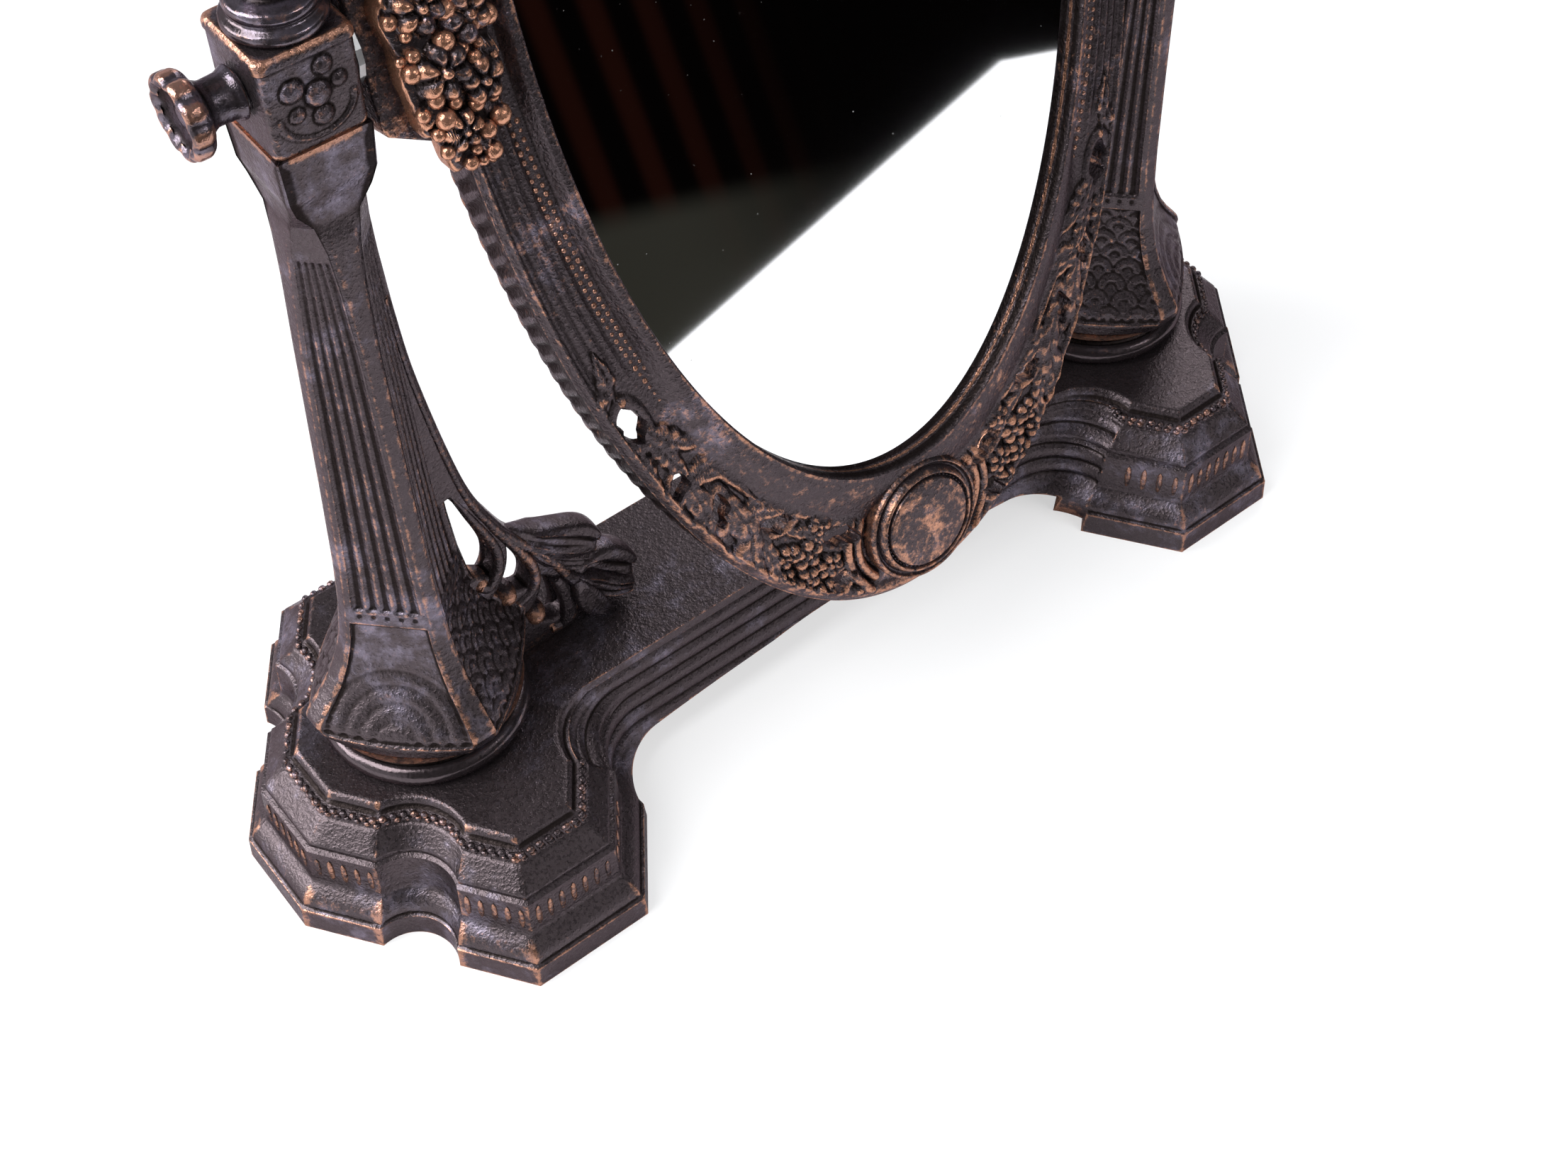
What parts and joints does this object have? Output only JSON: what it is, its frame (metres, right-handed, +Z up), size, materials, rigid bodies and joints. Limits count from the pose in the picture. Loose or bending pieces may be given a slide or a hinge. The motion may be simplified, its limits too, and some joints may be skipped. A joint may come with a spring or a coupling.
{
  "type": "table mirror",
  "caption": "Oval swing mirror in an ornate cast frame, held by thumbscrews between two fluted columns on a stepped base.",
  "frame": {"origin": "middle of the resting face of the base, below the middle of the bar", "axes": "+X from the left column to the right one, -Y out of the glass, +Z up"},
  "size_m": [0.207, 0.0812, 0.2641],
  "materials": {
    "bronze_casting": "antique bronze, worn to copper on the edges",
    "frame_casting": "antique copper, dark in the hollows",
    "knob_brass": "darkened, polished on the rim",
    "steel": "plain zinc",
    "silvered_glass": "polished",
    "card": "grey card",
    "back_metal": "dull black"
  },
  "bodies": {
    "stand": {"base": "bronze_casting", "foot_collar_left": "bronze_casting", "foot_collar_right": "bronze_casting", "column_left": "bronze_casting", "column_right": "bronze_casting", "scroll_bracket_left": "bronze_casting", "scroll_bracket_right": "bronze_casting", "finial_left": "bronze_casting", "finial_right": "bronze_casting", "finial_studs": "steel", "column_screws": "steel", "column_washers": "steel"},
    "mirror": {"mirror_frame": "frame_casting", "medallion_lower": "frame_casting", "medallion_upper": "frame_casting", "flower_cluster_left": "frame_casting", "flower_cluster_right": "frame_casting", "mirror_glass": "silvered_glass", "backing_card": "card", "back_plate": "back_metal", "back_screws": "steel", "pivot_washer_left": "steel", "pivot_washer_right": "steel"},
    "thumbscrew_left": {"thumb_knob_left": "knob_brass", "thumb_shank_left": "steel"},
    "thumbscrew_right": {"thumb_knob_right": "knob_brass", "thumb_shank_right": "steel"}
  },
  "joints": [
    {"name": "mirror_tilt", "type": "hinge", "parent": "stand", "child": "mirror", "pos_m": [0, 0, 0.1485], "axis": [1, 0, 0], "continuous": true},
    {"name": "thumbscrew_left_turn", "type": "hinge", "parent": "stand", "child": "thumbscrew_left", "pos_m": [-0.0716, 0, 0.1485], "axis": [-1, 0, 0], "range_deg": [0, 360]},
    {"name": "thumbscrew_right_turn", "type": "hinge", "parent": "stand", "child": "thumbscrew_right", "pos_m": [0.0716, 0, 0.1485], "axis": [1, 0, 0], "range_deg": [0, 360]}
  ]
}
